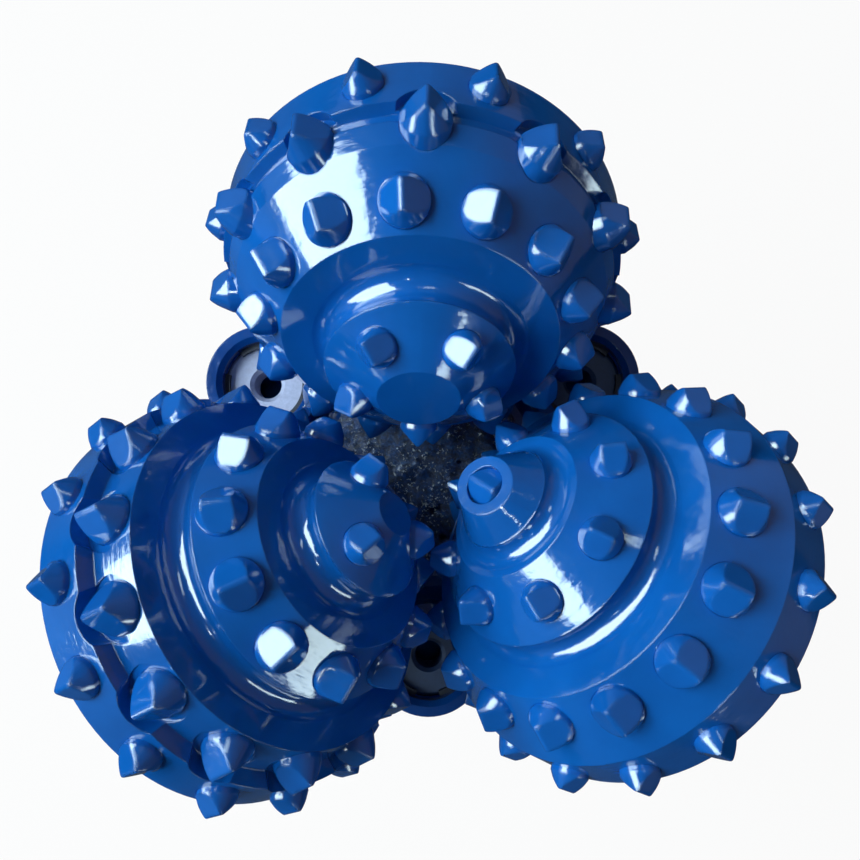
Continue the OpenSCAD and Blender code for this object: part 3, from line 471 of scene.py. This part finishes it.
def make_world():
    """White to the camera, an even daylight for matt light, and a dim room for reflections."""
    world = bpy.data.worlds.new("studio")
    world.use_nodes = True
    tree = world.node_tree
    daylight = tree.nodes["Background"]
    daylight.inputs["Color"].default_value = (0.78, 0.87, 1.0, 1)
    daylight.inputs["Strength"].default_value = 0.028
    coordinates = tree.nodes.new("ShaderNodeTexCoord")
    parts = tree.nodes.new("ShaderNodeSeparateXYZ")
    tree.links.new(coordinates.outputs["Generated"], parts.inputs["Vector"])
    shift = tree.nodes.new("ShaderNodeMapRange")
    shift.inputs["From Min"].default_value = -1.0
    shift.inputs["From Max"].default_value = 1.0
    tree.links.new(parts.outputs["X"], shift.inputs["Value"])
    room_colour = ramp(tree, shift.outputs["Result"], [
        (0.0, (0.26, 0.38, 0.52)), (0.25, (0.13, 0.17, 0.24)), (0.42, (0.06, 0.058, 0.075)),
        (0.60, (0.06, 0.056, 0.07)), (0.80, (0.17, 0.155, 0.19)), (1.0, (0.18, 0.165, 0.2))])
    strength = tree.nodes.new("ShaderNodeMapRange")
    strength.inputs["From Min"].default_value = -1.0
    strength.inputs["From Max"].default_value = 1.0
    strength.inputs["To Min"].default_value = 0.5
    strength.inputs["To Max"].default_value = 1.5
    tree.links.new(parts.outputs["Y"], strength.inputs["Value"])
    room = tree.nodes.new("ShaderNodeBackground")
    tree.links.new(room_colour.outputs["Color"], room.inputs["Color"])
    tree.links.new(strength.outputs["Result"], room.inputs["Strength"])
    white = tree.nodes.new("ShaderNodeBackground")
    path = tree.nodes.new("ShaderNodeLightPath")
    mirrored = tree.nodes.new("ShaderNodeMixShader")
    tree.links.new(path.outputs["Is Glossy Ray"], mirrored.inputs["Fac"])
    tree.links.new(daylight.outputs["Background"], mirrored.inputs[1])
    tree.links.new(room.outputs["Background"], mirrored.inputs[2])
    seen = tree.nodes.new("ShaderNodeMixShader")
    white.inputs["Color"].default_value = (1, 1, 1, 1)
    tree.links.new(path.outputs["Is Camera Ray"], seen.inputs["Fac"])
    tree.links.new(mirrored.outputs["Shader"], seen.inputs[1])
    tree.links.new(white.outputs["Background"], seen.inputs[2])
    tree.links.new(seen.outputs["Shader"], tree.nodes["World Output"].inputs["Surface"])
    bpy.context.scene.world = world


def make_lights():
    """A large window on the left, a tall strip at the lower right and two small lamps overhead.

    They show in the gloss at full strength, and soft lights at a plain level light the colours."""
    centre = Vector((0, 0, 0.28))
    window_side = Vector((-0.797, 0.03, 0.602))
    window = (0.74, 0.96, 1.0)
    day = (0.9, 0.95, 1.0)
    mirrored = (
        ("window", window_side * 1.25, (1.25, 1.0), 66),
        ("strip", Vector((0.562, -0.72, 0.407)) * 1.3, (0.2, 0.85), 5.5),
        ("bulb", Vector((-0.21, -0.366, 0.906)) * 1.1, (0.05, 0.05), 0.5),
        ("lamp", Vector((0.08, 0.42, 0.9)) * 1.1, (0.3, 0.12), 0.7),
    )
    for name, offset, size, power in mirrored:
        softbox(name, centre + offset, centre, size, power, window).visible_diffuse = False
    # The key stands just before the window: of two lights in one plane, a ray meets only one
    soft = (
        ("key", window_side * 1.23, (1.23, 0.98), 26.5, window),
        ("fill_top", Vector((0.0, 0.1, 1.2)), (0.3, 0.3), 0.6, window),
        ("fill_back", Vector((0.1, 1.5, 0.0)), (1.3, 0.45), 3.2, day),
        ("fill_right", Vector((1.5, 0.2, 0.0)), (1.3, 0.45), 3.2, day),
        ("fill_front", Vector((0.6, -1.4, 0.0)), (1.3, 0.45), 3.2, day),
    )
    for name, offset, size, power, colour in soft:
        softbox(name, centre + offset, centre, size, power, colour).visible_glossy = False


def make_camera():
    """The photographed view: almost straight down on the cones from close by."""
    data = bpy.data.cameras.new("camera")
    data.sensor_width = 36
    data.lens = 30.03
    data.shift_x = -0.0083
    data.shift_y = 0.0329
    data.clip_start = 0.01
    camera = bpy.data.objects.new("camera", data)
    turn = Matrix.Rotation(math.radians(2.1755), 4, "Z") @ Matrix.Rotation(math.radians(-2.1077), 4, "Y")
    turn = turn @ Matrix.Rotation(math.radians(1.1184), 4, "X")
    camera.matrix_world = Matrix.Translation((-0.00628, 0.00019, 0.48974)) @ turn
    bpy.context.scene.collection.objects.link(camera)
    bpy.context.scene.camera = camera


paint_nodes()
pin_thread()
for number, seam in enumerate(SEAM_ANGLES):
    weld_bead(number, seam)
dome_crust()
make_floor()
make_world()
make_lights()
make_camera()
bpy.context.scene.view_settings.view_transform = "Standard"
